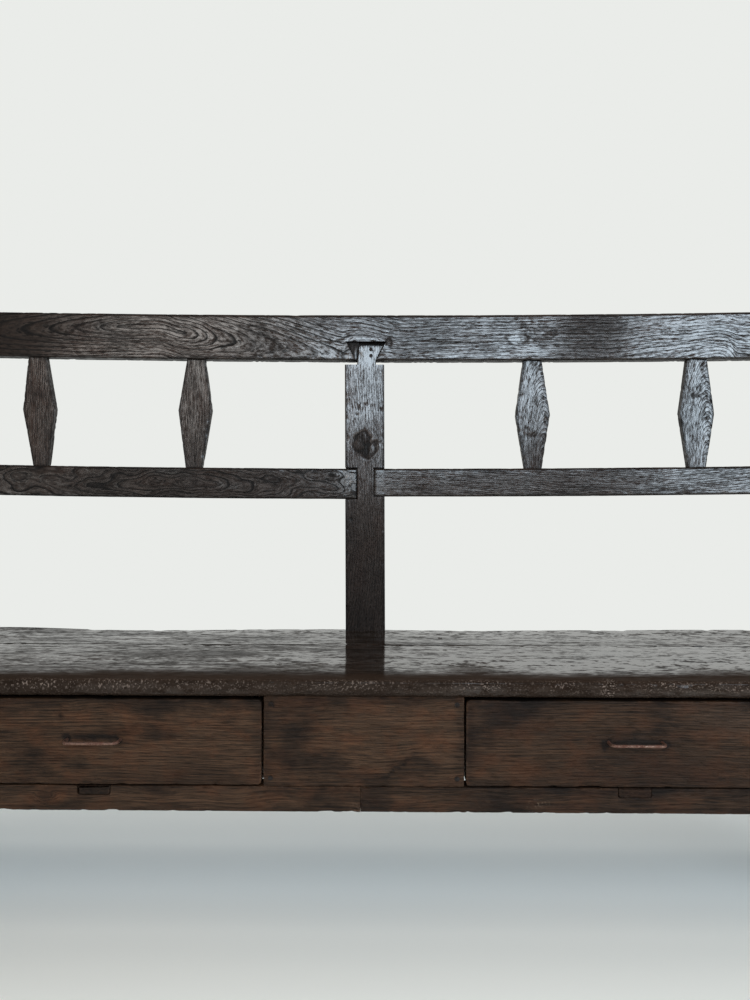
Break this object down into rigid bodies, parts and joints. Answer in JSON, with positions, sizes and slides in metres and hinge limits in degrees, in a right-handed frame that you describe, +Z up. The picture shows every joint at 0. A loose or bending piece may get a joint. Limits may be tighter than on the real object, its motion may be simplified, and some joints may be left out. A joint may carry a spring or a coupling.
{
  "type": "bench",
  "caption": "Long rustic settle bench with an open railed back of flat lozenge balusters, a plank seat and pull-out drawers under it.",
  "frame": {"origin": "on the floor below the middle of the bench's box", "axes": "+X along the bench to the right seen from the front, +Y from the front to the back, +Z up"},
  "size_m": [1.966, 0.458, 1.0425],
  "materials": {
    "frame_wood": "dark stained and waxed, worn edges",
    "seat_wood": "dark, polished by use",
    "drawer_wood": "dark brown, waxed",
    "inner_wood": "bare, aged",
    "peg_wood": "dark end grain",
    "iron": "forged, rusty brown"
  },
  "bodies": {
    "bench": {"back_post_left": "frame_wood", "back_post_right": "frame_wood", "front_leg_left": "frame_wood", "front_leg_right": "frame_wood", "end_apron_left": "frame_wood", "end_apron_right": "frame_wood", "back_apron": "frame_wood", "top_rail": "frame_wood", "lower_rail_left": "frame_wood", "lower_rail_right": "frame_wood", "centre_stile": "frame_wood", "dovetail_wedge": "frame_wood", "baluster_left_outer": "frame_wood", "baluster_left_inner": "frame_wood", "baluster_right_inner": "frame_wood", "baluster_right_outer": "frame_wood", "front_rail_left": "frame_wood", "front_rail_right": "frame_wood", "seat_front_plank": "seat_wood", "seat_back_plank": "seat_wood", "centre_panel": "drawer_wood", "end_panel_left": "drawer_wood", "end_panel_right": "drawer_wood", "inner_divider_left": "inner_wood", "inner_divider_right": "inner_wood", "outer_divider_left": "inner_wood", "outer_divider_right": "inner_wood", "drawer_bearer_left": "inner_wood", "drawer_bearer_right": "inner_wood", "front_rail_cleat": "inner_wood", "frame_pegs": "peg_wood", "seat_pegs": "peg_wood", "case_nails": "iron", "stile_nails": "iron"},
    "left_drawer": {"left_drawer_front": "drawer_wood", "left_drawer_left_side": "inner_wood", "left_drawer_right_side": "inner_wood", "left_drawer_back": "inner_wood", "left_drawer_bottom": "inner_wood", "left_drawer_pull": "iron", "left_drawer_nails": "iron"},
    "right_drawer": {"right_drawer_front": "drawer_wood", "right_drawer_left_side": "inner_wood", "right_drawer_right_side": "inner_wood", "right_drawer_back": "inner_wood", "right_drawer_bottom": "inner_wood", "right_drawer_pull": "iron", "right_drawer_nails": "iron"}
  },
  "joints": [
    {"name": "left_drawer_slide", "type": "slide", "parent": "bench", "child": "left_drawer", "axis": [0, -1, 0], "range_m": [0, 0.28]},
    {"name": "right_drawer_slide", "type": "slide", "parent": "bench", "child": "right_drawer", "axis": [0, -1, 0], "range_m": [0, 0.28]}
  ]
}
